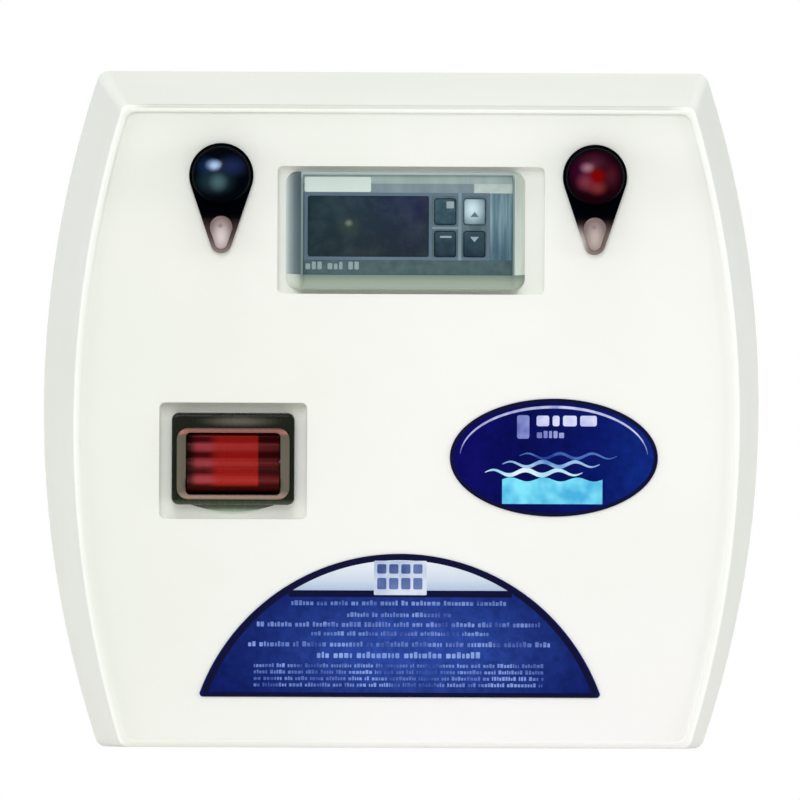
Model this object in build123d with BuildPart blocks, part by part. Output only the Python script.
from build123d import *
import math
import os

# Control box of a salt chlorine generator, for mounting on a wall. Millimetres, +Z up.
# The wall is the plane Y = 0, with the origin at the centre of the box's back face.
# The front faces -Y and +X is to the viewer's right. A "depth" is the distance from the wall,
# so the plane Plane.XZ.offset(depth) lies at Y = -depth and is drawn in (X, Z).

os.makedirs("parts", exist_ok=True)

# ---- driving dimensions --------------------------------------------------------------------

# enclosure
rear_width = 258.0  # widest, across the bowed sides
rear_height = 244.0
side_bow = 20.0  # how far a side bows out beyond its corners
box_depth = 105.0  # wall to front edge
rim_depth = 1.0  # the cover's rim stands this far off the wall
side_draft = 13.0  # the front outline is drawn in by this much on each side
end_draft = 10.0  # and by this much at top and bottom
shell = 3.0  # side walls of the cover
front_wall = 4.5
corner_radius = 4.0
edge_radius = 2.0
panel_margin = 0.3  # flat border between the rounded edge and the sunk front panel
panel_step = 1.0

# chassis
plate = 3.0
plate_gap = 0.4
rib_inset = 9.0  # outer face of the sealing rib, from the box's outline
rib_width = 2.0
rib_height = 9.0
wall_hole_pitch = 180.0
wall_hole_radius = 2.75
bay_half_width = 62.0  # open-bottomed bay that the cable glands stand in
bay_depth = 45.0
bay_roof = -95.0  # top face of the bay's roof
bay_wall = 3.0
bay_bottom = -117.0
bay_centre = 22.5  # depth of the gland axes

# the cover hooks over the chassis at the top and is held by two screws in its bottom wall
fixing_x = 85.0
cover_screw_depth = 12.0
cover_screw_radius = 1.5
cover_head_radius = 3.0
cover_head_height = 1.5
cover_head_low = -120.5  # outer face of a countersunk head
block_centre = 111.0  # blocks on the chassis, behind the top and bottom walls
block_length = 14.0
block_thickness = 12.0
hook_groove = 2.0  # groove across the top blocks, behind a lip
hook_lip = 5.0
hook_rib_back = 11.0  # the cover's rib, which drops into the groove
hook_rib_depth = 4.5
hook_rib_low = 115.5

# display module
display_x = 0.0
display_z = 68.5
display_width = 75.0
display_height = 41.0
display_foot_x = -0.8  # the bezel spreads to a wider foot at the sides
display_foot_width = 83.4
display_lip = 5.2  # wide lower border of the bezel
display_side = 1.0
display_recess_width = 93.0
display_recess_height = 44.5
display_recess_x = 1.1
display_recess_z = 68.75
display_recess_depth = 3.0
display_cutout_width = 71.0
display_cutout_height = 29.0
display_proud = 0.6  # bezel above the front panel
overlay_thickness = 1.2
overlay_drop = 1.0  # overlay below the bezel's face
window_x = -13.8
window_z = 70.1
window_width = 42.2
window_height = 21.2
housing_back = 52.0
housing_wall = 1.8
key_columns = (13.0, 23.2)
key_rows = (75.3, 64.0)
key_width = 7.2
key_height = 8.8
key_gap = 0.25
key_travel = 0.8
key_proud = 0.7
board_depth = 94.0
board_thickness = 1.6

# power switch
switch_x = -60.5
switch_z = -12.8
switch_width = 42.8
switch_height = 32.0
switch_frame_z = -11.2  # the frame is wider above the opening than below it
switch_lip = 2.6  # bowed lip under the frame
switch_lip_width = 30.0
switch_recess_width = 51.5
switch_recess_height = 40.6
switch_recess_z = -11.9
switch_recess_depth = 3.0
switch_proud = 1.5
switch_body_width = 37.0
switch_body_height = 27.0
switch_body_back = 76.0
paddle_width = 31.7
paddle_reach = 8.8  # pivot to each end of the paddle
paddle_rise = 6.0  # pivot to the paddle's tips
paddle_dish = 3.4  # pivot to the bottom of its dished face
paddle_tilt = 10.0  # degrees each side of level
pivot_depth = 99.5
pivot_radius = 1.5
pivot_clearance = 0.05
opening_width = 33.0
opening_height = 21.8
blade_width = 6.3
blade_thickness = 0.8

# pilot lamps
lamp_x = 65.0
lamp_z = 87.7
lamp_radius = 11.2
lamp_tip_drop = 23.5  # head's centre to the centre of the tail's rounded tip
lamp_tip_radius = 3.7
lamp_flange = 2.2
lamp_dome_rise = 6.5
lamp_barrel_radius = 6.0
lamp_barrel_back = 84.0
lamp_bore_radius = 4.8
jewel_radius = 9.3
jewel_collar = 3.9
jewel_rise = 4.9
tail_drop = 18.0  # head's centre to the centre of the clear tail's wide end
tail_radius = 4.0
tail_tip_radius = 2.2
led_base = 89.0

# labels
label_thickness = 0.4
oval_x = 51.3
oval_z = -10.3
oval_width = 72.6
oval_height = 41.2
arch_x = -2.0
arch_base_z = -94.3
arch_width = 140.8
arch_height = 50.2

# transformer
core_x = 62.0
core_z = -32.0
core_radius = 47.5
core_hole_radius = 15.0
core_height = 42.0
plinth_radius = 40.0
plinth_depth = 6.0
cushion = 2.0
core_round = 9.0
core_bolt_radius = 3.0
washer_thickness = 1.5
dish_drop = -4.0

# control board
pcb_x = -58.0
pcb_z = 8.0
pcb_width = 100.0
pcb_height = 140.0
pcb_depth = 13.0
pcb_thickness = 1.6
pcb_hole_inset = 6.0
post_radius = 4.0
pcb_screw_radius = 1.25
capacitor_spots = [(-92.0, 0.0), (-62.0, 0.0)]
strip_z = -50.0  # terminal strip
strip_width = 76.0
strip_rise = 14.0
strip_pitch = 9.2
strip_poles = 8
trimmer_x = -22.0
trimmer_z = 48.0
trimmer_shaft = 1.2

# heat sink
sink_x = 59.0
sink_z = 48.0
sink_width = 78.0
sink_height = 55.0
sink_base = 4.0
fin_height = 22.0
fin_count = 7
fin_pitch = 7.5
fin_thickness = 2.0
sink_screw_radius = 1.7
rectifier_size = 28.0
rectifier_height = 10.0

# cable glands and fuse holder, all in the roof of the bay
mains_x = -6.0
mains_thread = 8.0
mains_cable = 3.5  # radius of the cable that the seal grips
cell_x = 30.0
cell_thread = 10.0
cell_cable = 4.5
fuse_x = -36.0
fuse_thread = 6.3
fuse_radius = 2.6
fuse_length = 20.0
fuse_bore = 3.6
fuse_top = -69.0
fuse_low = -95.0
gland_hex = 4.0
gland_stub = 12.0
gland_thread_rise = 9.0
gland_seal_length = 11.0
gland_dome = 8.0
gland_way_gap = 2.0  # around the cable, above the seal
gland_mouth_gap = 1.8  # and at the dome nut's mouth

# what follows from them
panel_depth = box_depth - panel_step
half_height = rear_height / 2
bow_radius = (half_height**2 + side_bow**2) / (2 * side_bow)
display_floor = panel_depth - display_recess_depth
display_face = panel_depth + display_proud
overlay_face = display_face - overlay_drop
overlay_back = overlay_face - overlay_thickness
switch_floor = panel_depth - switch_recess_depth
switch_face = panel_depth + switch_proud
jewel_seat = panel_depth + 1
core_back = plinth_depth + cushion
core_front = core_back + core_height
pcb_face = pcb_depth + pcb_thickness


def front(depth):
    """A plane parallel to the wall, facing the viewer, at a depth from the wall."""
    return Plane.XZ.offset(depth)


def barrel(depth, inset=0.0):
    """The box's outline at a depth, drawn in by an inset: flat ends and bowed sides."""
    run = (depth - rim_depth) / (box_depth - rim_depth)
    top = half_height - run * end_draft - inset
    bow_centre = rear_width / 2 - run * side_draft - bow_radius
    side = bow_centre + bow_radius - inset
    corner = bow_centre + math.sqrt((bow_radius - inset) ** 2 - top**2)
    with BuildSketch(front(depth)) as outline:
        with BuildLine():
            Line((-corner, top), (corner, top))
            ThreePointArc((corner, top), (side, 0), (corner, -top))
            Line((corner, -top), (-corner, -top))
            ThreePointArc((-corner, -top), (-side, 0), (-corner, top))
        make_face()
    return outline.sketch


# ---- enclosure -----------------------------------------------------------------------------

cover_screw_spots = [(x, -cover_screw_depth) for x in (-fixing_x, fixing_x)]
pcb_spots = [
    (pcb_x + x, pcb_z + z)
    for x in (-pcb_width / 2 + pcb_hole_inset, pcb_width / 2 - pcb_hole_inset)
    for z in (-pcb_height / 2 + pcb_hole_inset, pcb_height / 2 - pcb_hole_inset)
]

with BuildPart() as front_cover:
    loft([barrel(rim_depth), barrel(box_depth)], ruled=True)
    fillet(front_cover.edges().group_by(Axis.Y)[1], corner_radius)
    fillet(front_cover.edges().group_by(Axis.Y)[0], edge_radius)
    # hollow, open towards the wall
    cavity_front = box_depth - front_wall
    loft([barrel(rim_depth, shell), barrel(cavity_front, shell)], ruled=True, mode=Mode.SUBTRACT)
    # sunk front panel
    with BuildSketch(front(box_depth)) as sunk_panel:
        add(barrel(box_depth, panel_margin + edge_radius))
        fillet(sunk_panel.vertices(), corner_radius)
    extrude(amount=-panel_step, mode=Mode.SUBTRACT)
    # thicker wall behind the recesses of the display and the switch
    with BuildSketch(front(cavity_front)):
        with Locations((display_recess_x, display_recess_z)):
            Rectangle(display_recess_width + 8, display_recess_height + 6)
        with Locations((switch_x, switch_recess_z)):
            Rectangle(switch_recess_width + 8, switch_recess_height + 8)
    extrude(amount=-display_recess_depth)
    # recesses
    with BuildSketch(front(panel_depth)):
        with Locations((display_recess_x, display_recess_z)):
            RectangleRounded(display_recess_width, display_recess_height, 2)
    extrude(amount=-display_recess_depth, mode=Mode.SUBTRACT)
    with BuildSketch(front(panel_depth)):
        with Locations((switch_x, switch_recess_z)):
            RectangleRounded(switch_recess_width, switch_recess_height, 2)
    extrude(amount=-switch_recess_depth, mode=Mode.SUBTRACT)
    # cut-outs for the display, the switch and the lamps
    with BuildSketch(front(panel_depth)):
        with Locations((display_x, display_z)):
            Rectangle(display_cutout_width, display_cutout_height)
        with Locations((switch_x, switch_z)):
            Rectangle(switch_body_width + 0.4, switch_body_height + 0.4)
        with Locations((-lamp_x, lamp_z), (lamp_x, lamp_z)):
            Circle(lamp_barrel_radius + 0.2)
    extrude(amount=-3 * front_wall, mode=Mode.SUBTRACT)
    # notch in the bottom wall, around the chassis's gland bay
    with BuildSketch(Plane.XY.offset(-half_height)):
        with Locations((0, -(bay_depth + 1) / 2)):
            Rectangle(2 * (bay_half_width + 0.5), bay_depth)
    extrude(amount=16, mode=Mode.SUBTRACT)
    # ribs inside the top wall, which hook over the chassis
    with BuildSketch(front(hook_rib_back)):
        with Locations((-fixing_x, hook_rib_low + 2), (fixing_x, hook_rib_low + 2)):
            Rectangle(block_length - 2, 4)
    extrude(amount=hook_rib_depth)
    # countersunk screw holes in the bottom wall
    with BuildSketch(Plane.XY.offset(cover_head_low)):
        with Locations(cover_screw_spots):
            Circle(cover_head_radius + 0.15)
    extrude(amount=-4, mode=Mode.SUBTRACT)
    with BuildSketch(Plane.XY.offset(cover_head_low)):
        with Locations(cover_screw_spots):
            Circle(cover_head_radius + 0.15)
    extrude(amount=cover_head_height, taper=45, mode=Mode.SUBTRACT)
    with BuildSketch(Plane.XY.offset(cover_head_low)):
        with Locations(cover_screw_spots):
            Circle(cover_screw_radius + 0.15)
    extrude(amount=6, mode=Mode.SUBTRACT)
front_cover.part.label = "front_cover"
export_step(front_cover.part, "parts/front_cover.step")

with BuildPart() as chassis:
    extrude(barrel(plate, shell + plate_gap), amount=-plate)
    # sealing rib
    with BuildSketch(front(plate)):
        add(barrel(plate, rib_inset))
        add(barrel(plate, rib_inset + rib_width), mode=Mode.SUBTRACT)
    extrude(amount=rib_height)
    # gland bay: roof, front wall and side walls, open at the bottom
    with BuildSketch(Plane.XY.offset(bay_roof)):
        with Locations((0, -bay_depth / 2)):
            Rectangle(2 * bay_half_width, bay_depth)
    extrude(amount=bay_bottom - bay_roof)
    with BuildSketch(Plane.XY.offset(bay_roof - bay_wall)):
        with Locations((0, -bay_depth / 2)):
            Rectangle(2 * (bay_half_width - bay_wall), bay_depth - 2 * bay_wall)
    extrude(amount=2 * (bay_bottom - bay_roof), mode=Mode.SUBTRACT)
    # plinth under the transformer
    with BuildSketch(front(plate)):
        with Locations((core_x, core_z)):
            Circle(plinth_radius)
    extrude(amount=plinth_depth - plate)
    # posts under the control board
    with BuildSketch(front(plate)):
        with Locations(pcb_spots):
            Circle(post_radius)
    extrude(amount=pcb_depth - plate)
    # blocks: the cover screws bite into the bottom pair, the cover hooks over the top pair
    with BuildSketch(front(plate)):
        with GridLocations(2 * fixing_x, 2 * block_centre, 2, 2):
            Rectangle(block_length, block_thickness)
    extrude(amount=2 * (cover_screw_depth - plate))
    with BuildSketch(Plane.XY.offset(-block_centre - block_thickness / 2)):
        with Locations(cover_screw_spots):
            Circle(cover_screw_radius)
    extrude(amount=11, mode=Mode.SUBTRACT)
    groove_front = 2 * cover_screw_depth - plate - hook_lip
    with BuildSketch(Plane.XY.offset(block_centre + block_thickness / 2)):
        with Locations((-fixing_x, -(plate + groove_front) / 2), (fixing_x, -(plate + groove_front) / 2)):
            Rectangle(block_length, groove_front - plate)
    extrude(amount=-hook_groove, mode=Mode.SUBTRACT)
    # holes: wall screws, transformer bolt with its sunk hexagon, board screws, sink screws
    with BuildSketch(front(0)):
        with GridLocations(wall_hole_pitch, wall_hole_pitch, 2, 2):
            Circle(wall_hole_radius)
        with Locations((core_x, core_z)):
            Circle(core_bolt_radius + 0.2)
    extrude(amount=plinth_depth, mode=Mode.SUBTRACT)
    with BuildSketch(front(0)):
        with Locations((core_x, core_z)):
            RegularPolygon(5.2, 6, major_radius=False)
    extrude(amount=4.2, mode=Mode.SUBTRACT)
    with BuildSketch(front(pcb_depth)):
        with Locations(pcb_spots):
            Circle(pcb_screw_radius)
    extrude(amount=-8, mode=Mode.SUBTRACT)
    # holes in the bay's roof: fuse holder, mains gland, cell gland
    with BuildSketch(Plane.XY.offset(bay_roof)):
        for x, thread_radius in ((fuse_x, fuse_thread), (mains_x, mains_thread), (cell_x, cell_thread)):
            with Locations((x, -bay_centre)):
                Circle(thread_radius + 0.15)
    extrude(amount=-bay_wall, mode=Mode.SUBTRACT)
chassis.part.label = "chassis"
export_step(chassis.part, "parts/chassis.step")

with BuildPart() as cover_seal:
    seal_front = plate + 3
    with BuildSketch(front(plate)):
        add(barrel(seal_front, shell + 0.1))
        add(barrel(plate, rib_inset), mode=Mode.SUBTRACT)
        with Locations((0, -half_height)):
            Rectangle(2 * (bay_half_width + 1), 60, mode=Mode.SUBTRACT)
        with GridLocations(2 * fixing_x, 2 * block_centre, 2, 2):
            Rectangle(block_length + 0.4, block_thickness + 0.4, mode=Mode.SUBTRACT)
    extrude(amount=3)
cover_seal.part.label = "cover_seal"
export_step(cover_seal.part, "parts/cover_seal.step")

with BuildPart() as cover_screws:
    with BuildSketch(Plane.XY.offset(cover_head_low)):
        with Locations(cover_screw_spots):
            Circle(cover_head_radius)
    extrude(amount=cover_head_height, taper=45)
    with BuildSketch(Plane.XY.offset(cover_head_low + cover_head_height)):
        with Locations(cover_screw_spots):
            Circle(cover_screw_radius)
    extrude(amount=11)
    # cross recesses
    with BuildSketch(Plane.XY.offset(cover_head_low)):
        with Locations(cover_screw_spots):
            Rectangle(3.2, 0.8)
            Rectangle(0.8, 3.2)
    extrude(amount=1.1, mode=Mode.SUBTRACT)
cover_screws.part.label = "cover_screws"
export_step(cover_screws.part, "parts/cover_screws.step")

# ---- display module ------------------------------------------------------------------------

display_low = display_z - display_height / 2
overlay_low = display_low + display_lip
overlay_high = display_z + display_height / 2 - display_side
overlay_z = (overlay_low + overlay_high) / 2
overlay_height = overlay_high - overlay_low
overlay_width = display_width - 2 * display_side
key_spots = [(x, z) for z in key_rows for x in key_columns]
chip_top = board_depth + board_thickness + 2

with BuildPart() as display_bezel:
    with BuildSketch(front(display_floor)):
        with Locations((display_foot_x, display_z)):
            RectangleRounded(display_foot_width, display_height, 4)
    with BuildSketch(front(display_face)):
        with Locations((display_x, display_z)):
            RectangleRounded(display_width, display_height, 1.5)
    loft(ruled=True)
    fillet(display_bezel.edges().group_by(Axis.Y)[0], 0.5)
    # pocket for the overlay, with its lower border sloping down to it
    with BuildSketch(front(display_face)):
        with Locations((display_x, overlay_z)):
            Rectangle(overlay_width, overlay_height)
    extrude(amount=overlay_back - display_face, mode=Mode.SUBTRACT)
    # opening into the housing
    with BuildSketch(front(display_floor)):
        with Locations((display_x, display_z)):
            Rectangle(display_cutout_width - 7, display_cutout_height - 5)
    extrude(amount=display_face - display_floor, mode=Mode.SUBTRACT)
    # the lower border slopes down to the overlay
    with BuildSketch(Plane.YZ.offset(display_x)):
        with BuildLine():
            Polyline(
                (-display_face, display_low + 1.2),
                (-overlay_face, overlay_low),
                (-display_face, overlay_low),
                close=True,
            )
        make_face()
    extrude(amount=overlay_width / 2, both=True, mode=Mode.SUBTRACT)
display_bezel.part.label = "display_bezel"
export_step(display_bezel.part, "parts/display_bezel.step")

with BuildPart() as display_overlay:
    with BuildSketch(front(overlay_back)):
        with Locations((display_x, overlay_z)):
            Rectangle(overlay_width - 0.2, overlay_height - 0.2)
        with Locations((window_x, window_z)):
            RectangleRounded(window_width, window_height, 0.8, mode=Mode.SUBTRACT)
        with Locations(key_spots):
            RectangleRounded(key_width + 2 * key_gap, key_height + 2 * key_gap, 1, mode=Mode.SUBTRACT)
    extrude(amount=overlay_thickness)
display_overlay.part.label = "display_overlay"
export_step(display_overlay.part, "parts/display_overlay.step")

with BuildPart() as display_window:
    with BuildSketch(front(overlay_back)):
        with Locations((window_x, window_z)):
            RectangleRounded(window_width - 0.1, window_height - 0.1, 0.75)
    extrude(amount=overlay_thickness - 0.2)
display_window.part.label = "display_window"
export_step(display_window.part, "parts/display_window.step")

with BuildPart() as display_housing:
    with BuildSketch(front(housing_back)):
        with Locations((display_x, display_z)):
            RectangleRounded(display_cutout_width - 0.4, display_cutout_height - 0.4, 1)
    extrude(amount=display_floor - housing_back)
    with BuildSketch(front(housing_back + housing_wall)):
        with Locations((display_x, display_z)):
            Rectangle(display_cutout_width - 4, display_cutout_height - 4)
    extrude(amount=box_depth, mode=Mode.SUBTRACT)
    # slots for the terminals and for air
    with BuildSketch(front(housing_back)):
        with Locations((display_x, display_z)):
            Rectangle(50, 9)
    extrude(amount=housing_wall, mode=Mode.SUBTRACT)
    with BuildSketch(Plane.XY.offset(display_z)):
        with Locations((display_x, -(housing_back + 14))):
            with GridLocations(8, 0, 6, 1):
                SlotOverall(14, 2.4, rotation=90)
    extrude(amount=display_cutout_height, both=True, mode=Mode.SUBTRACT)
display_housing.part.label = "display_housing"
export_step(display_housing.part, "parts/display_housing.step")

with BuildPart() as display_terminals:
    with BuildSketch(front(housing_back - 3)):
        with Locations((display_x, display_z)):
            Rectangle(49, 8.4)
    extrude(amount=16)
    with BuildSketch(front(housing_back - 3)):
        with Locations((display_x, display_z)):
            with GridLocations(7, 0, 7, 1):
                Rectangle(4.6, 5)
    extrude(amount=9, mode=Mode.SUBTRACT)
display_terminals.part.label = "display_terminals"
export_step(display_terminals.part, "parts/display_terminals.step")

with BuildPart() as display_board:
    with BuildSketch(front(board_depth)):
        with Locations((display_x, display_z)):
            Rectangle(display_cutout_width - 4.4, display_cutout_height - 4.4)
    extrude(amount=board_thickness)
    # a small push switch behind each key
    with BuildSketch(front(board_depth + board_thickness)):
        with Locations(key_spots):
            Rectangle(5, 5)
    extrude(amount=1.2)
    with BuildSketch(front(board_depth + board_thickness + 1.2)):
        with Locations(key_spots):
            Circle(1.4)
    extrude(amount=0.8)
display_board.part.label = "display_board"
export_step(display_board.part, "parts/display_board.step")

with BuildPart() as digit_block:
    with BuildSketch(front(board_depth + board_thickness)):
        with Locations((window_x, window_z)):
            Rectangle(36, 18)
    extrude(amount=display_floor - board_depth - board_thickness - 0.2)
    chamfer(digit_block.edges().group_by(Axis.Y)[0], 0.4)
digit_block.part.label = "digit_block"
export_step(digit_block.part, "parts/digit_block.step")

for key, (key_x, key_z) in zip(("menu_key", "up_key", "set_key", "down_key"), key_spots):
    with BuildPart() as display_key:
        with BuildSketch(front(overlay_back - 0.4)):
            with Locations((key_x, key_z)):
                RectangleRounded(key_width, key_height, 0.8)
        extrude(amount=overlay_thickness + 0.4 + key_proud)
        fillet(display_key.edges().group_by(Axis.Y)[0], 0.45)
        # stem that reaches its push switch
        with BuildSketch(front(chip_top + key_travel + 0.1)):
            with Locations((key_x, key_z)):
                Circle(1.6)
        extrude(until=Until.NEXT)
    display_key.part.label = key
    export_step(display_key.part, f"parts/{key}.step")

with BuildPart() as display_clips:
    for side in (-1, 1):
        clip_x = display_x + side * (display_cutout_width / 2 + 2.6)
        with BuildSketch(front(housing_back + 10)):
            with Locations((clip_x, display_z)):
                Rectangle(5.2, 20)
        extrude(amount=cavity_front - display_recess_depth - housing_back - 10)
        with BuildSketch(Plane.YZ.offset(clip_x + side * 2.6)):
            with Locations((-(housing_back + 20), display_z)):
                with GridLocations(5, 0, 4, 1):
                    Rectangle(2, 14)
        extrude(amount=-side * 2, mode=Mode.SUBTRACT)
display_clips.part.label = "display_clips"
export_step(display_clips.part, "parts/display_clips.step")

# ---- power switch --------------------------------------------------------------------------

terminal_spots = [(switch_x + x, switch_z + z) for x in (-10, 10) for z in (-7, 7)]

with BuildPart() as switch_frame:
    with BuildSketch(front(switch_floor)):
        with Locations((switch_x, switch_frame_z)):
            RectangleRounded(switch_width, switch_height, 2.5)
        with Locations((switch_x, switch_z)):
            Rectangle(opening_width, opening_height, mode=Mode.SUBTRACT)
    extrude(amount=switch_face - switch_floor)
    outer = switch_frame.edges().group_by(Axis.Y)[0].filter_by(
        lambda e: abs(e.center().X - switch_x) > opening_width / 2 + 0.1
        or abs(e.center().Z - switch_z) > opening_height / 2 + 0.1
    )
    fillet(outer, 1.2)
    # lip bowed below the frame
    frame_low = switch_frame_z - switch_height / 2
    lip_plane = Plane(origin=(switch_x, -switch_floor, frame_low), x_dir=(1, 0, 0), z_dir=(0, -1, 0))
    with BuildSketch(lip_plane):
        with BuildLine():
            ThreePointArc((-switch_lip_width / 2, 0), (0, -switch_lip), (switch_lip_width / 2, 0))
            Polyline(
                (switch_lip_width / 2, 0), (switch_lip_width / 2, 2), (-switch_lip_width / 2, 2),
                (-switch_lip_width / 2, 0),
            )
        make_face()
    extrude(amount=1.2)
switch_frame.part.label = "switch_frame"
export_step(switch_frame.part, "parts/switch_frame.step")

with BuildPart() as switch_body:
    with BuildSketch(front(switch_body_back)):
        with Locations((switch_x, switch_z)):
            Rectangle(switch_body_width, switch_body_height)
    extrude(amount=switch_floor - switch_body_back)
    with BuildSketch(front(switch_body_back + 2)):
        with Locations((switch_x, switch_z)):
            Rectangle(opening_width, opening_height + 1.6)
    extrude(amount=box_depth, mode=Mode.SUBTRACT)
    with BuildSketch(front(switch_body_back)):
        with Locations(terminal_spots):
            Rectangle(blade_width, blade_thickness)
    extrude(amount=2, mode=Mode.SUBTRACT)
    # bearings for the rocker's pin
    with BuildSketch(Plane.YZ.offset(switch_x)):
        with Locations((-pivot_depth, switch_z)):
            Circle(pivot_radius + pivot_clearance)
    extrude(amount=switch_body_width, both=True, mode=Mode.SUBTRACT)
switch_body.part.label = "switch_body"
export_step(switch_body.part, "parts/switch_body.step")

# the paddle's section is drawn level on a plane through the pivot, tipped so that its upper
# end is pressed in
tilt = math.radians(paddle_tilt)
paddle_plane = Plane(
    origin=(switch_x, -pivot_depth, switch_z),
    x_dir=(0, math.cos(tilt), -math.sin(tilt)),
    z_dir=(1, 0, 0),
)

# skirts round the pivot close the gap to the frame at both ends, however the paddle is tipped
skirt_radius = math.hypot(paddle_rise, paddle_reach)
skirt_start = math.atan2(paddle_reach, paddle_rise)
skirt_end = math.radians(85)
skirt_middle = (skirt_start + skirt_end) / 2


def skirt_point(angle):
    """A point on the skirt's circle, by its angle from the paddle's outward direction."""
    return -skirt_radius * math.cos(angle), skirt_radius * math.sin(angle)


with BuildPart() as rocker_paddle:
    with BuildSketch(paddle_plane):
        with BuildLine():
            ThreePointArc((-paddle_rise, paddle_reach), (-paddle_dish, 0), (-paddle_rise, -paddle_reach))
            for end in (-1, 1):
                angles = (skirt_start, skirt_middle, skirt_end)
                ThreePointArc(*(skirt_point(end * angle) for angle in angles))
            back_x, back_z = skirt_point(skirt_end)
            Polyline((back_x, -back_z), (2, -6), (2, 6), (back_x, back_z))
        make_face()
        Circle(pivot_radius + 2)
        Circle(pivot_radius, mode=Mode.SUBTRACT)
    extrude(amount=paddle_width / 2, both=True)
rocker_paddle.part.label = "rocker_paddle"
export_step(rocker_paddle.part, "parts/rocker_paddle.step")

with BuildPart() as rocker_pin:
    with BuildSketch(paddle_plane):
        Circle(pivot_radius)
    extrude(amount=switch_body_width / 2 - 0.9, both=True)
    chamfer(rocker_pin.edges().filter_by(GeomType.CIRCLE), 0.3)
rocker_pin.part.label = "rocker_pin"
export_step(rocker_pin.part, "parts/rocker_pin.step")

with BuildPart() as switch_terminals:
    with BuildSketch(front(switch_body_back - 9)):
        with Locations(terminal_spots):
            Rectangle(blade_width, blade_thickness)
    extrude(amount=9 + 3)
switch_terminals.part.label = "switch_terminals"
export_step(switch_terminals.part, "parts/switch_terminals.step")

# ---- pilot lamps ---------------------------------------------------------------------------


def teardrop(x, depth):
    """A lamp's outline: a round head and a small round tip below it, joined by tangents."""
    with BuildSketch(front(depth)) as outline:
        with Locations((x, lamp_z)):
            Circle(lamp_radius)
        with Locations((x, lamp_z - lamp_tip_drop)):
            Circle(lamp_tip_radius)
        make_hull()
    return outline.sketch


def tail_outline(x, depth, gap=0.0):
    """The clear tail set into the narrow end of a lamp's bezel."""
    with BuildSketch(front(depth)) as outline:
        with Locations((x, lamp_z - tail_drop)):
            Circle(tail_radius - gap)
        with Locations((x, lamp_z - lamp_tip_drop)):
            Circle(tail_tip_radius - gap)
        make_hull()
    return outline.sketch


def lamp_dome(x, radius, base, rise):
    """Half an ellipsoid on a plane parallel to the wall, bulging towards the viewer."""
    with BuildPart() as dome:
        with BuildSketch(Plane(origin=(x, -base, lamp_z), x_dir=(1, 0, 0), z_dir=(0, 0, -1))):
            with BuildLine():
                EllipticalCenterArc((0, 0), radius, rise, 0, arc_size=90)
                Polyline((0, rise), (0, 0), (radius, 0))
            make_face()
        revolve(axis=Axis((x, 0, lamp_z), (0, 1, 0)))
    return dome.part


for side, x in (("left", -lamp_x), ("right", lamp_x)):
    flange_face = panel_depth + lamp_flange
    with BuildPart() as lamp_bezel:
        extrude(teardrop(x, panel_depth), amount=lamp_flange)
        fillet(lamp_bezel.edges().group_by(Axis.Y)[0], 0.9)
        add(lamp_dome(x, lamp_radius - 0.9, flange_face - 0.01, lamp_dome_rise))
        # threaded barrel behind the panel
        with BuildSketch(front(panel_depth)):
            with Locations((x, lamp_z)):
                Circle(lamp_barrel_radius)
        extrude(amount=lamp_barrel_back - panel_depth)
        # seat for the jewel, bore for the lamp, pocket for the tail
        with BuildSketch(front(jewel_seat)):
            with Locations((x, lamp_z)):
                Circle(jewel_radius)
        extrude(amount=20, mode=Mode.SUBTRACT)
        with BuildSketch(front(lamp_barrel_back)):
            with Locations((x, lamp_z)):
                Circle(lamp_bore_radius)
        extrude(amount=40, mode=Mode.SUBTRACT)
        extrude(tail_outline(x, flange_face - 1.2), amount=5, mode=Mode.SUBTRACT)
    lamp_bezel.part.label = f"{side}_lamp_bezel"
    export_step(lamp_bezel.part, f"parts/{side}_lamp_bezel.step")

    with BuildPart() as lamp_jewel:
        with BuildSketch(front(jewel_seat)):
            with Locations((x, lamp_z)):
                Circle(jewel_radius - 0.05)
        extrude(amount=jewel_collar)
        add(lamp_dome(x, jewel_radius - 0.05, jewel_seat + jewel_collar, jewel_rise))
    lamp_jewel.part.label = f"{side}_lamp_jewel"
    export_step(lamp_jewel.part, f"parts/{side}_lamp_jewel.step")

    with BuildPart() as lamp_tail:
        extrude(tail_outline(x, flange_face - 1.2, 0.05), amount=1.9)
        fillet(lamp_tail.edges().group_by(Axis.Y)[0], 0.6)
    lamp_tail.part.label = f"{side}_lamp_tail"
    export_step(lamp_tail.part, f"parts/{side}_lamp_tail.step")

    with BuildPart() as lamp_led:
        with BuildSketch(front(led_base)):
            with Locations((x, lamp_z)):
                Circle(lamp_bore_radius - 0.05)
        extrude(amount=2)
        with BuildSketch(front(led_base + 2)):
            with Locations((x, lamp_z)):
                Circle(2.5)
        extrude(amount=6)
        add(lamp_dome(x, 2.5, led_base + 8, 2.5))
        with BuildSketch(front(led_base)):
            with Locations((x - 1.27, lamp_z), (x + 1.27, lamp_z)):
                Rectangle(0.5, 0.5)
        extrude(amount=-14)
    lamp_led.part.label = f"{side}_lamp_led"
    export_step(lamp_led.part, f"parts/{side}_lamp_led.step")

with BuildPart() as lamp_nuts:
    with BuildSketch(front(cavity_front)):
        with Locations((-lamp_x, lamp_z), (lamp_x, lamp_z)):
            RegularPolygon(8.5, 6, major_radius=False)
            Circle(lamp_barrel_radius, mode=Mode.SUBTRACT)
    extrude(amount=-4)
    chamfer(lamp_nuts.edges().group_by(Axis.Y)[-1].filter_by(GeomType.LINE), 0.5)
lamp_nuts.part.label = "lamp_nuts"
export_step(lamp_nuts.part, "parts/lamp_nuts.step")

# ---- labels --------------------------------------------------------------------------------

with BuildPart() as oval_label:
    with BuildSketch(front(panel_depth)):
        with Locations((oval_x, oval_z)):
            Ellipse(oval_width / 2, oval_height / 2)
    extrude(amount=label_thickness)
oval_label.part.label = "oval_label"
export_step(oval_label.part, "parts/oval_label.step")

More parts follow.
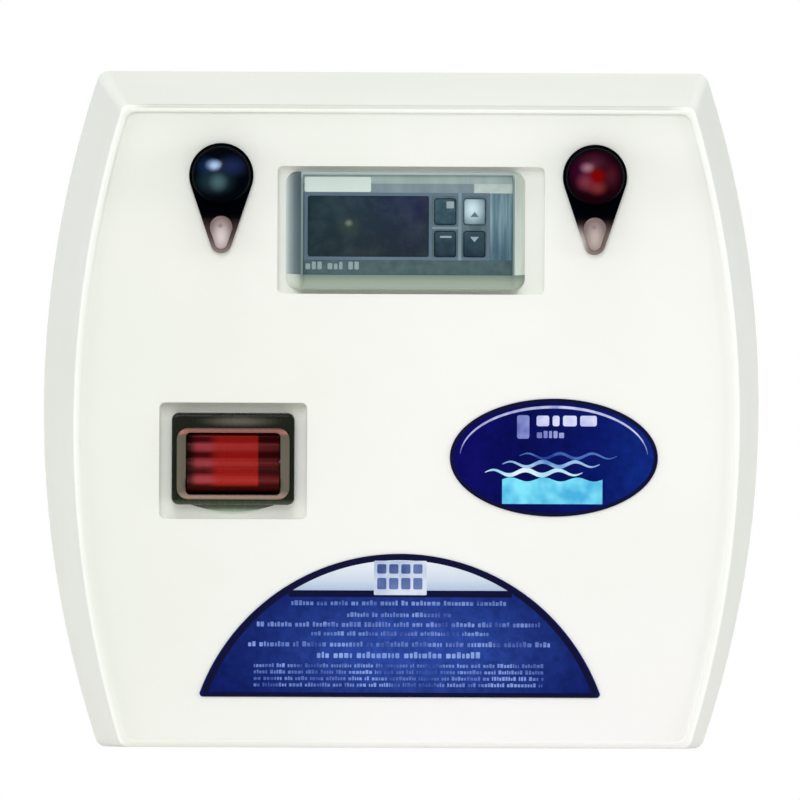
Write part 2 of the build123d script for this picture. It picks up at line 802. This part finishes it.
with BuildPart() as arch_label:
    with BuildSketch(Plane(origin=(arch_x, -panel_depth, arch_base_z), x_dir=(1, 0, 0), z_dir=(0, -1, 0))):
        with BuildLine():
            ThreePointArc((-arch_width / 2, 0), (0, arch_height), (arch_width / 2, 0))
            Line((arch_width / 2, 0), (-arch_width / 2, 0))
        arch_outline = make_face()
        fillet(arch_outline.vertices(), 1.2)
    extrude(amount=label_thickness)
arch_label.part.label = "arch_label"
export_step(arch_label.part, "parts/arch_label.step")

# ---- cable glands --------------------------------------------------------------------------

roof_under = bay_roof - bay_wall
for name, x, thread, cable in (
    ("mains", mains_x, mains_thread, mains_cable),
    ("cell", cell_x, cell_thread, cell_cable),
):
    with BuildPart() as gland_body:
        with BuildSketch(Plane.XY.offset(roof_under)):
            with Locations((x, -bay_centre)):
                RegularPolygon(thread + 3, 6, major_radius=False)
        extrude(amount=-gland_hex)
        with BuildSketch(Plane.XY.offset(roof_under - gland_stub)):
            with Locations((x, -bay_centre)):
                Circle(thread - 1)
        extrude(amount=gland_stub)
        with BuildSketch(Plane.XY.offset(roof_under)):
            with Locations((x, -bay_centre)):
                Circle(thread)
        extrude(amount=bay_wall + gland_thread_rise)
        # cable way above, seat for the seal below
        with BuildSketch(Plane.XY.offset(bay_roof + gland_thread_rise)):
            with Locations((x, -bay_centre)):
                Circle(cable + gland_way_gap)
        extrude(amount=-60, mode=Mode.SUBTRACT)
        with BuildSketch(Plane.XY.offset(roof_under - gland_hex)):
            with Locations((x, -bay_centre)):
                Circle(thread - 2.4)
        extrude(amount=-gland_stub, mode=Mode.SUBTRACT)
    gland_body.part.label = f"{name}_gland_body"
    export_step(gland_body.part, f"parts/{name}_gland_body.step")

    with BuildPart() as gland_seal:
        with BuildSketch(Plane.XY.offset(roof_under - gland_hex)):
            with Locations((x, -bay_centre)):
                Circle(thread - 2.4)
                Circle(cable, mode=Mode.SUBTRACT)
        extrude(amount=-gland_seal_length)
    gland_seal.part.label = f"{name}_gland_seal"
    export_step(gland_seal.part, f"parts/{name}_gland_seal.step")

    with BuildPart() as gland_nut:
        nut_top = roof_under - gland_hex - 1
        with BuildSketch(Plane.XY.offset(nut_top)):
            with Locations((x, -bay_centre)):
                RegularPolygon(thread + 2, 6, major_radius=False)
        extrude(amount=-8)
        with BuildSketch(Plane.XY.offset(nut_top - 8)):
            with Locations((x, -bay_centre)):
                Circle(thread + 1.8)
        extrude(amount=-gland_dome)
        fillet(gland_nut.edges().group_by(Axis.Z)[0], 4)
        with BuildSketch(Plane.XY.offset(nut_top)):
            with Locations((x, -bay_centre)):
                Circle(thread - 1)
        extrude(amount=roof_under - gland_stub - nut_top - 0.5, mode=Mode.SUBTRACT)
        with BuildSketch(Plane.XY.offset(nut_top)):
            with Locations((x, -bay_centre)):
                Circle(thread - 2.4)
        extrude(amount=roof_under - gland_hex - gland_seal_length - nut_top, mode=Mode.SUBTRACT)
        with BuildSketch(Plane.XY.offset(nut_top)):
            with Locations((x, -bay_centre)):
                Circle(cable + gland_mouth_gap)
        extrude(amount=-40, mode=Mode.SUBTRACT)
    gland_nut.part.label = f"{name}_gland_nut"
    export_step(gland_nut.part, f"parts/{name}_gland_nut.step")

with BuildPart() as gland_locknuts:
    for x, thread in ((mains_x, mains_thread), (cell_x, cell_thread)):
        with BuildSketch(Plane.XY.offset(bay_roof)):
            with Locations((x, -bay_centre)):
                RegularPolygon(thread + 3, 6, major_radius=False)
                Circle(thread, mode=Mode.SUBTRACT)
        extrude(amount=5)
gland_locknuts.part.label = "gland_locknuts"
export_step(gland_locknuts.part, "parts/gland_locknuts.step")

# ---- fuse ----------------------------------------------------------------------------------

with BuildPart() as fuse_holder:
    with BuildSketch(Plane.XY.offset(roof_under)):
        with Locations((fuse_x, -bay_centre)):
            Circle(fuse_thread + 2)
    extrude(amount=-2.5)
    with BuildSketch(Plane.XY.offset(roof_under)):
        with Locations((fuse_x, -bay_centre)):
            Circle(fuse_thread)
    extrude(amount=fuse_top - roof_under)
    with BuildSketch(Plane.XY.offset(fuse_top)):
        with Locations((fuse_x, -bay_centre)):
            Rectangle(1, 6)
    extrude(amount=6)
    with BuildSketch(Plane.XY.offset(roof_under - 2.5)):
        with Locations((fuse_x, -bay_centre)):
            Circle(fuse_bore)
    extrude(amount=fuse_top - roof_under - 1.5, mode=Mode.SUBTRACT)
fuse_holder.part.label = "fuse_holder"
export_step(fuse_holder.part, "parts/fuse_holder.step")

with BuildPart() as fuse_nut:
    with BuildSketch(Plane.XY.offset(bay_roof)):
        with Locations((fuse_x, -bay_centre)):
            RegularPolygon(9, 6, major_radius=False)
            Circle(fuse_thread, mode=Mode.SUBTRACT)
    extrude(amount=4)
fuse_nut.part.label = "fuse_nut"
export_step(fuse_nut.part, "parts/fuse_nut.step")

with BuildPart() as fuse:
    with BuildSketch(Plane.XY.offset(fuse_low)):
        with Locations((fuse_x, -bay_centre)):
            Circle(fuse_radius - 0.25)
    extrude(amount=fuse_length)
    for end in (fuse_low, fuse_low + fuse_length - 5):
        with BuildSketch(Plane.XY.offset(end)):
            with Locations((fuse_x, -bay_centre)):
                Circle(fuse_radius)
        extrude(amount=5)
fuse.part.label = "fuse"
export_step(fuse.part, "parts/fuse.step")

with BuildPart() as fuse_cap:
    with BuildSketch(Plane.XY.offset(roof_under - 2.7)):
        with Locations((fuse_x, -bay_centre)):
            Circle(fuse_thread + 1)
            with PolarLocations(fuse_thread + 1, 16):
                Circle(0.6, mode=Mode.SUBTRACT)
    extrude(amount=-9.5)
    with BuildSketch(Plane.XY.offset(roof_under - 2.7)):
        with Locations((fuse_x, -bay_centre)):
            Circle(fuse_bore - 0.15)
    extrude(amount=fuse_low - roof_under + 2.7)
    with BuildSketch(Plane.XY.offset(roof_under - 12.2)):
        with Locations((fuse_x, -bay_centre)):
            Rectangle(9, 1.4)
    extrude(amount=1.6, mode=Mode.SUBTRACT)
fuse_cap.part.label = "fuse_cap"
export_step(fuse_cap.part, "parts/fuse_cap.step")

# ---- transformer ---------------------------------------------------------------------------

with BuildPart() as transformer_core:
    with BuildSketch(front(core_back)):
        with Locations((core_x, core_z)):
            Circle(core_radius)
            Circle(core_hole_radius, mode=Mode.SUBTRACT)
    extrude(amount=core_height)
    fillet(transformer_core.edges().filter_by(GeomType.CIRCLE), core_round)
transformer_core.part.label = "transformer_core"
export_step(transformer_core.part, "parts/transformer_core.step")

with BuildPart() as transformer_pads:
    for pad_back in (plinth_depth, core_front):
        with BuildSketch(front(pad_back)):
            with Locations((core_x, core_z)):
                Circle(plinth_radius)
                Circle(core_hole_radius + core_round, mode=Mode.SUBTRACT)
        extrude(amount=cushion)
transformer_pads.part.label = "transformer_pads"
export_step(transformer_pads.part, "parts/transformer_pads.step")

washer_back = core_front + cushion
with BuildPart() as transformer_washer:
    with BuildSketch(Plane(origin=(core_x, -washer_back, core_z), x_dir=(1, 0, 0), z_dir=(0, 0, -1))):
        with BuildLine():
            Polyline(
                (core_bolt_radius, dish_drop),
                (13, dish_drop),
                (24, 0),
                (38, 0),
                (38, washer_thickness),
                (23.5, washer_thickness),
                (12.5, dish_drop + washer_thickness),
                (core_bolt_radius, dish_drop + washer_thickness),
                close=True,
            )
        make_face()
    revolve(axis=Axis((core_x, 0, core_z), (0, 1, 0)))
transformer_washer.part.label = "transformer_washer"
export_step(transformer_washer.part, "parts/transformer_washer.step")

with BuildPart() as transformer_bolt:
    with BuildSketch(front(0.2)):
        with Locations((core_x, core_z)):
            RegularPolygon(5, 6, major_radius=False)
    extrude(amount=4)
    with BuildSketch(front(4.2)):
        with Locations((core_x, core_z)):
            Circle(core_bolt_radius)
    extrude(amount=washer_back + 8 - 4.2)
transformer_bolt.part.label = "transformer_bolt"
export_step(transformer_bolt.part, "parts/transformer_bolt.step")

with BuildPart() as transformer_nut:
    with BuildSketch(front(washer_back + dish_drop + washer_thickness)):
        with Locations((core_x, core_z)):
            RegularPolygon(5, 6, major_radius=False)
            Circle(core_bolt_radius, mode=Mode.SUBTRACT)
    extrude(amount=5)
transformer_nut.part.label = "transformer_nut"
export_step(transformer_nut.part, "parts/transformer_nut.step")

# ---- rectifier on its heat sink ------------------------------------------------------------

sink_face = plate + sink_base
fins_x = sink_x - sink_width / 2 + fin_thickness / 2 + fin_pitch * (fin_count - 1) / 2
sink_screw_x = fins_x + fin_pitch / 2
sink_spots = [(sink_screw_x, sink_z - 22), (sink_screw_x, sink_z + 22)]
rectifier_x = sink_x + sink_width / 2 - rectifier_size / 2 - 1

with BuildPart() as heat_sink:
    with BuildSketch(front(plate)):
        with Locations((sink_x, sink_z)):
            Rectangle(sink_width, sink_height)
        with Locations(sink_spots + [(rectifier_x, sink_z)]):
            Circle(sink_screw_radius, mode=Mode.SUBTRACT)
    extrude(amount=sink_base)
    with BuildSketch(front(sink_face)):
        with Locations((fins_x, sink_z)):
            with GridLocations(fin_pitch, 0, fin_count, 1):
                Rectangle(fin_thickness, sink_height)
    extrude(amount=fin_height)
heat_sink.part.label = "heat_sink"
export_step(heat_sink.part, "parts/heat_sink.step")

with BuildPart() as sink_screws:
    with BuildSketch(front(sink_face)):
        with Locations(sink_spots):
            Circle(2.6)
    extrude(amount=2)
    with BuildSketch(front(sink_face + rectifier_height)):
        with Locations((rectifier_x, sink_z)):
            Circle(3.2)
    extrude(amount=2.4)
    with BuildSketch(front(sink_face)):
        with Locations(sink_spots):
            Circle(sink_screw_radius)
    extrude(amount=-sink_base)
    with BuildSketch(front(sink_face + rectifier_height)):
        with Locations((rectifier_x, sink_z)):
            Circle(sink_screw_radius)
    extrude(amount=-rectifier_height - sink_base)
sink_screws.part.label = "sink_screws"
export_step(sink_screws.part, "parts/sink_screws.step")

with BuildPart() as bridge_rectifier:
    with BuildSketch(front(sink_face)):
        with Locations((rectifier_x, sink_z)):
            Rectangle(rectifier_size, rectifier_size)
            Circle(sink_screw_radius, mode=Mode.SUBTRACT)
    extrude(amount=rectifier_height)
    upright = bridge_rectifier.edges().filter_by(Axis.Y).filter_by(GeomType.LINE)
    chamfer(upright.sort_by(Axis.Z)[-1], 4)
    with BuildSketch(front(sink_face + rectifier_height)):
        with Locations((rectifier_x, sink_z)):
            with GridLocations(16, 16, 2, 2):
                Rectangle(blade_width, blade_thickness)
    extrude(amount=8)
bridge_rectifier.part.label = "bridge_rectifier"
export_step(bridge_rectifier.part, "parts/bridge_rectifier.step")

# ---- control board -------------------------------------------------------------------------

with BuildPart() as control_board:
    with BuildSketch(front(pcb_depth)):
        with Locations((pcb_x, pcb_z)):
            RectangleRounded(pcb_width, pcb_height, 2)
        with Locations(pcb_spots):
            Circle(pcb_screw_radius + 0.35, mode=Mode.SUBTRACT)
    extrude(amount=pcb_thickness)
control_board.part.label = "control_board"
export_step(control_board.part, "parts/control_board.step")

with BuildPart() as board_screws:
    with BuildSketch(front(pcb_face)):
        with Locations(pcb_spots):
            Circle(2.8)
    extrude(amount=2.2)
    fillet(board_screws.edges().group_by(Axis.Y)[0], 1)
    with BuildSketch(front(pcb_face)):
        with Locations(pcb_spots):
            Circle(pcb_screw_radius)
    extrude(amount=-8)
board_screws.part.label = "board_screws"
export_step(board_screws.part, "parts/board_screws.step")

with BuildPart() as polarity_relays:
    with BuildSketch(front(pcb_face)):
        with Locations((pcb_x - 28, pcb_z + 42), (pcb_x + 6, pcb_z + 42)):
            Rectangle(28, 32)
    extrude(amount=20)
    fillet(polarity_relays.edges().filter_by(Axis.Y), 1.2)
polarity_relays.part.label = "polarity_relays"
export_step(polarity_relays.part, "parts/polarity_relays.step")

with BuildPart() as smoothing_capacitors:
    with BuildSketch(front(pcb_face)):
        with Locations(capacitor_spots):
            Circle(12.5)
    extrude(amount=40)
    fillet(smoothing_capacitors.edges().filter_by(GeomType.CIRCLE), 1.5)
    # the rolled groove near the foot
    with BuildSketch(front(pcb_face + 4)):
        with Locations(capacitor_spots):
            Circle(14)
            Circle(11.7, mode=Mode.SUBTRACT)
    extrude(amount=1.6, mode=Mode.SUBTRACT)
smoothing_capacitors.part.label = "smoothing_capacitors"
export_step(smoothing_capacitors.part, "parts/smoothing_capacitors.step")

with BuildPart() as terminal_strip:
    with BuildSketch(front(pcb_face)):
        with Locations((pcb_x, strip_z)):
            Rectangle(strip_width, 14)
    extrude(amount=strip_rise)
    chamfer(terminal_strip.edges().filter_by(Axis.X).group_by(Axis.Y)[0], 3)
    # a wire mouth low on the lower side and a screw well above it, at each pole
    with BuildSketch(front(pcb_face + strip_rise)):
        with Locations((pcb_x, strip_z)):
            with GridLocations(strip_pitch, 0, strip_poles, 1):
                Circle(2.2)
    extrude(amount=-5, mode=Mode.SUBTRACT)
    with BuildSketch(Plane.XY.offset(strip_z - 7)):
        with Locations((pcb_x, -(pcb_face + 5))):
            with GridLocations(strip_pitch, 0, strip_poles, 1):
                Rectangle(4.4, 5)
    extrude(amount=5, mode=Mode.SUBTRACT)
terminal_strip.part.label = "terminal_strip"
export_step(terminal_strip.part, "parts/terminal_strip.step")

with BuildPart() as terminal_screws:
    with BuildSketch(front(pcb_face + strip_rise - 5)):
        with Locations((pcb_x, strip_z)):
            with GridLocations(strip_pitch, 0, strip_poles, 1):
                Circle(2)
                Rectangle(4, 0.7, mode=Mode.SUBTRACT)
    extrude(amount=2.5)
terminal_screws.part.label = "terminal_screws"
export_step(terminal_screws.part, "parts/terminal_screws.step")

with BuildPart() as board_chips:
    with BuildSketch(front(pcb_face)):
        with Locations((pcb_x + 30, pcb_z - 2)):
            Rectangle(9, 36)
        with Locations((pcb_x + 30, pcb_z - 34)):
            Rectangle(9, 12)
    extrude(amount=4)
    chamfer(board_chips.edges().group_by(Axis.Y)[0], 0.5)
board_chips.part.label = "board_chips"
export_step(board_chips.part, "parts/board_chips.step")

with BuildPart() as trimmer_body:
    with BuildSketch(front(pcb_face)):
        with Locations((trimmer_x, trimmer_z)):
            Rectangle(10, 10)
    extrude(amount=5)
    with BuildSketch(front(pcb_face + 5)):
        with Locations((trimmer_x, trimmer_z)):
            Circle(trimmer_shaft + 0.05)
    extrude(amount=-4, mode=Mode.SUBTRACT)
trimmer_body.part.label = "trimmer_body"
export_step(trimmer_body.part, "parts/trimmer_body.step")

with BuildPart() as trimmer_rotor:
    with BuildSketch(front(pcb_face + 5.1)):
        with Locations((trimmer_x, trimmer_z)):
            Circle(3.4)
    extrude(amount=2.4)
    with BuildSketch(front(pcb_face + 7.5)):
        with Locations((trimmer_x, trimmer_z)):
            Rectangle(5, 0.9)
            with Locations((0, 2.2)):
                Circle(0.5)
    extrude(amount=-1.2, mode=Mode.SUBTRACT)
    with BuildSketch(front(pcb_face + 5.1)):
        with Locations((trimmer_x, trimmer_z)):
            Circle(trimmer_shaft)
    extrude(amount=-3.6)
trimmer_rotor.part.label = "trimmer_rotor"
export_step(trimmer_rotor.part, "parts/trimmer_rotor.step")
